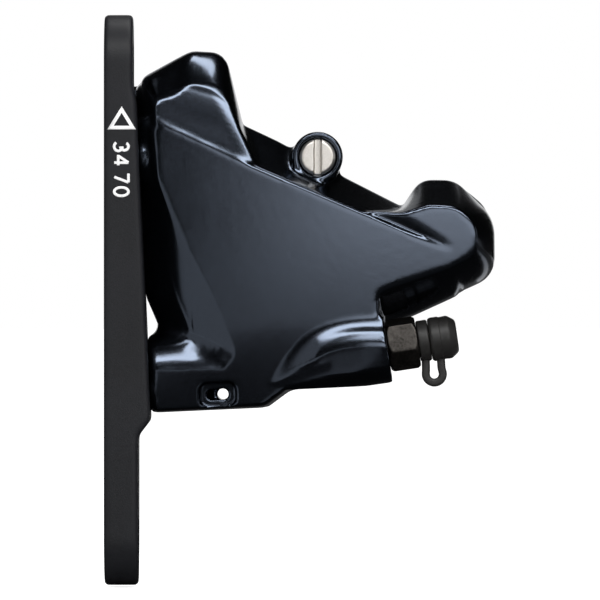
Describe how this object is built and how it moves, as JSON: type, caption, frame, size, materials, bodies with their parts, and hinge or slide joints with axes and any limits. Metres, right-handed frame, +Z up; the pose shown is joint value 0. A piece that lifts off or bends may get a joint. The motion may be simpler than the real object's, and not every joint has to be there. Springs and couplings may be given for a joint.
{
  "type": "bicycle disc brake caliper",
  "caption": "Hydraulic disc brake caliper with opposed pistons, sliding pads on an axle, bleed nipple and rubber cap, bolted to a long flat fork mounting plate.",
  "frame": {"origin": "middle of the plate's fork face, midway between the two fork bolt slots", "axes": "+X away from the fork, +Z up along the plate, +Y from the outer side towards the wheel"},
  "size_m": [0.0578, 0.0382, 0.0844],
  "materials": {
    "graphite_paint": "gloss metallic paint on a casting",
    "black_anodised": "matt black anodised",
    "dark_steel": "black phosphated steel",
    "bright_steel": "satin stainless steel",
    "rubber": "matt black rubber",
    "ceramic": "ground ceramic",
    "friction_lining": "pressed friction material"
  },
  "bodies": {
    "caliper": {"mount_plate": "black_anodised", "caliper_bolts": "dark_steel", "outer_body": "graphite_paint", "inner_body": "graphite_paint", "body_bolts": "dark_steel", "crossover_seal": "rubber", "outer_piston_seal": "rubber", "inner_piston_seal": "rubber", "pad_spring": "bright_steel", "pad_axle": "bright_steel", "pad_axle_clip": "bright_steel"},
    "outer_piston": {"outer_piston": "ceramic"},
    "inner_piston": {"inner_piston": "ceramic"},
    "outer_pad": {"outer_pad_plate": "dark_steel", "outer_pad_lining": "friction_lining"},
    "inner_pad": {"inner_pad_plate": "dark_steel", "inner_pad_lining": "friction_lining"},
    "nipple": {"bleed_nipple": "dark_steel", "bleed_cap_collar": "rubber", "bleed_cap_strap": "rubber"},
    "cap": {"bleed_cap": "rubber"}
  },
  "joints": [
    {"name": "outer_piston_slide", "type": "slide", "parent": "caliper", "child": "outer_piston", "axis": [0, 1, 0], "range_m": [0, 0.0014], "deforming": ["pad_spring"]},
    {"name": "inner_piston_slide", "type": "slide", "parent": "caliper", "child": "inner_piston", "axis": [0, -1, 0], "range_m": [0, 0.0014]},
    {"name": "outer_pad_slide", "type": "slide", "parent": "caliper", "child": "outer_pad", "axis": [0, 1, 0], "range_m": [0, 0.0014], "deforming": ["pad_spring"]},
    {"name": "inner_pad_slide", "type": "slide", "parent": "caliper", "child": "inner_pad", "axis": [0, -1, 0], "range_m": [0, 0.0014], "deforming": ["pad_spring"]},
    {"name": "bleed_nipple_turn", "type": "hinge", "parent": "caliper", "child": "nipple", "pos_m": [0.04181, -0.0009, -0.00683], "axis": [0.9888, 0, 0.1495], "range_deg": [0, 90]},
    {"name": "bleed_cap_pull", "type": "slide", "parent": "nipple", "child": "cap", "axis": [0.9888, 0, 0.1495], "range_m": [0, 0.006], "deforming": ["bleed_cap_strap"]}
  ],
  "couplings": [
    {"joint": "inner_piston_slide", "follows": "outer_piston_slide", "ratio": 1},
    {"joint": "outer_pad_slide", "follows": "outer_piston_slide", "ratio": 1},
    {"joint": "inner_pad_slide", "follows": "outer_piston_slide", "ratio": 1}
  ]
}
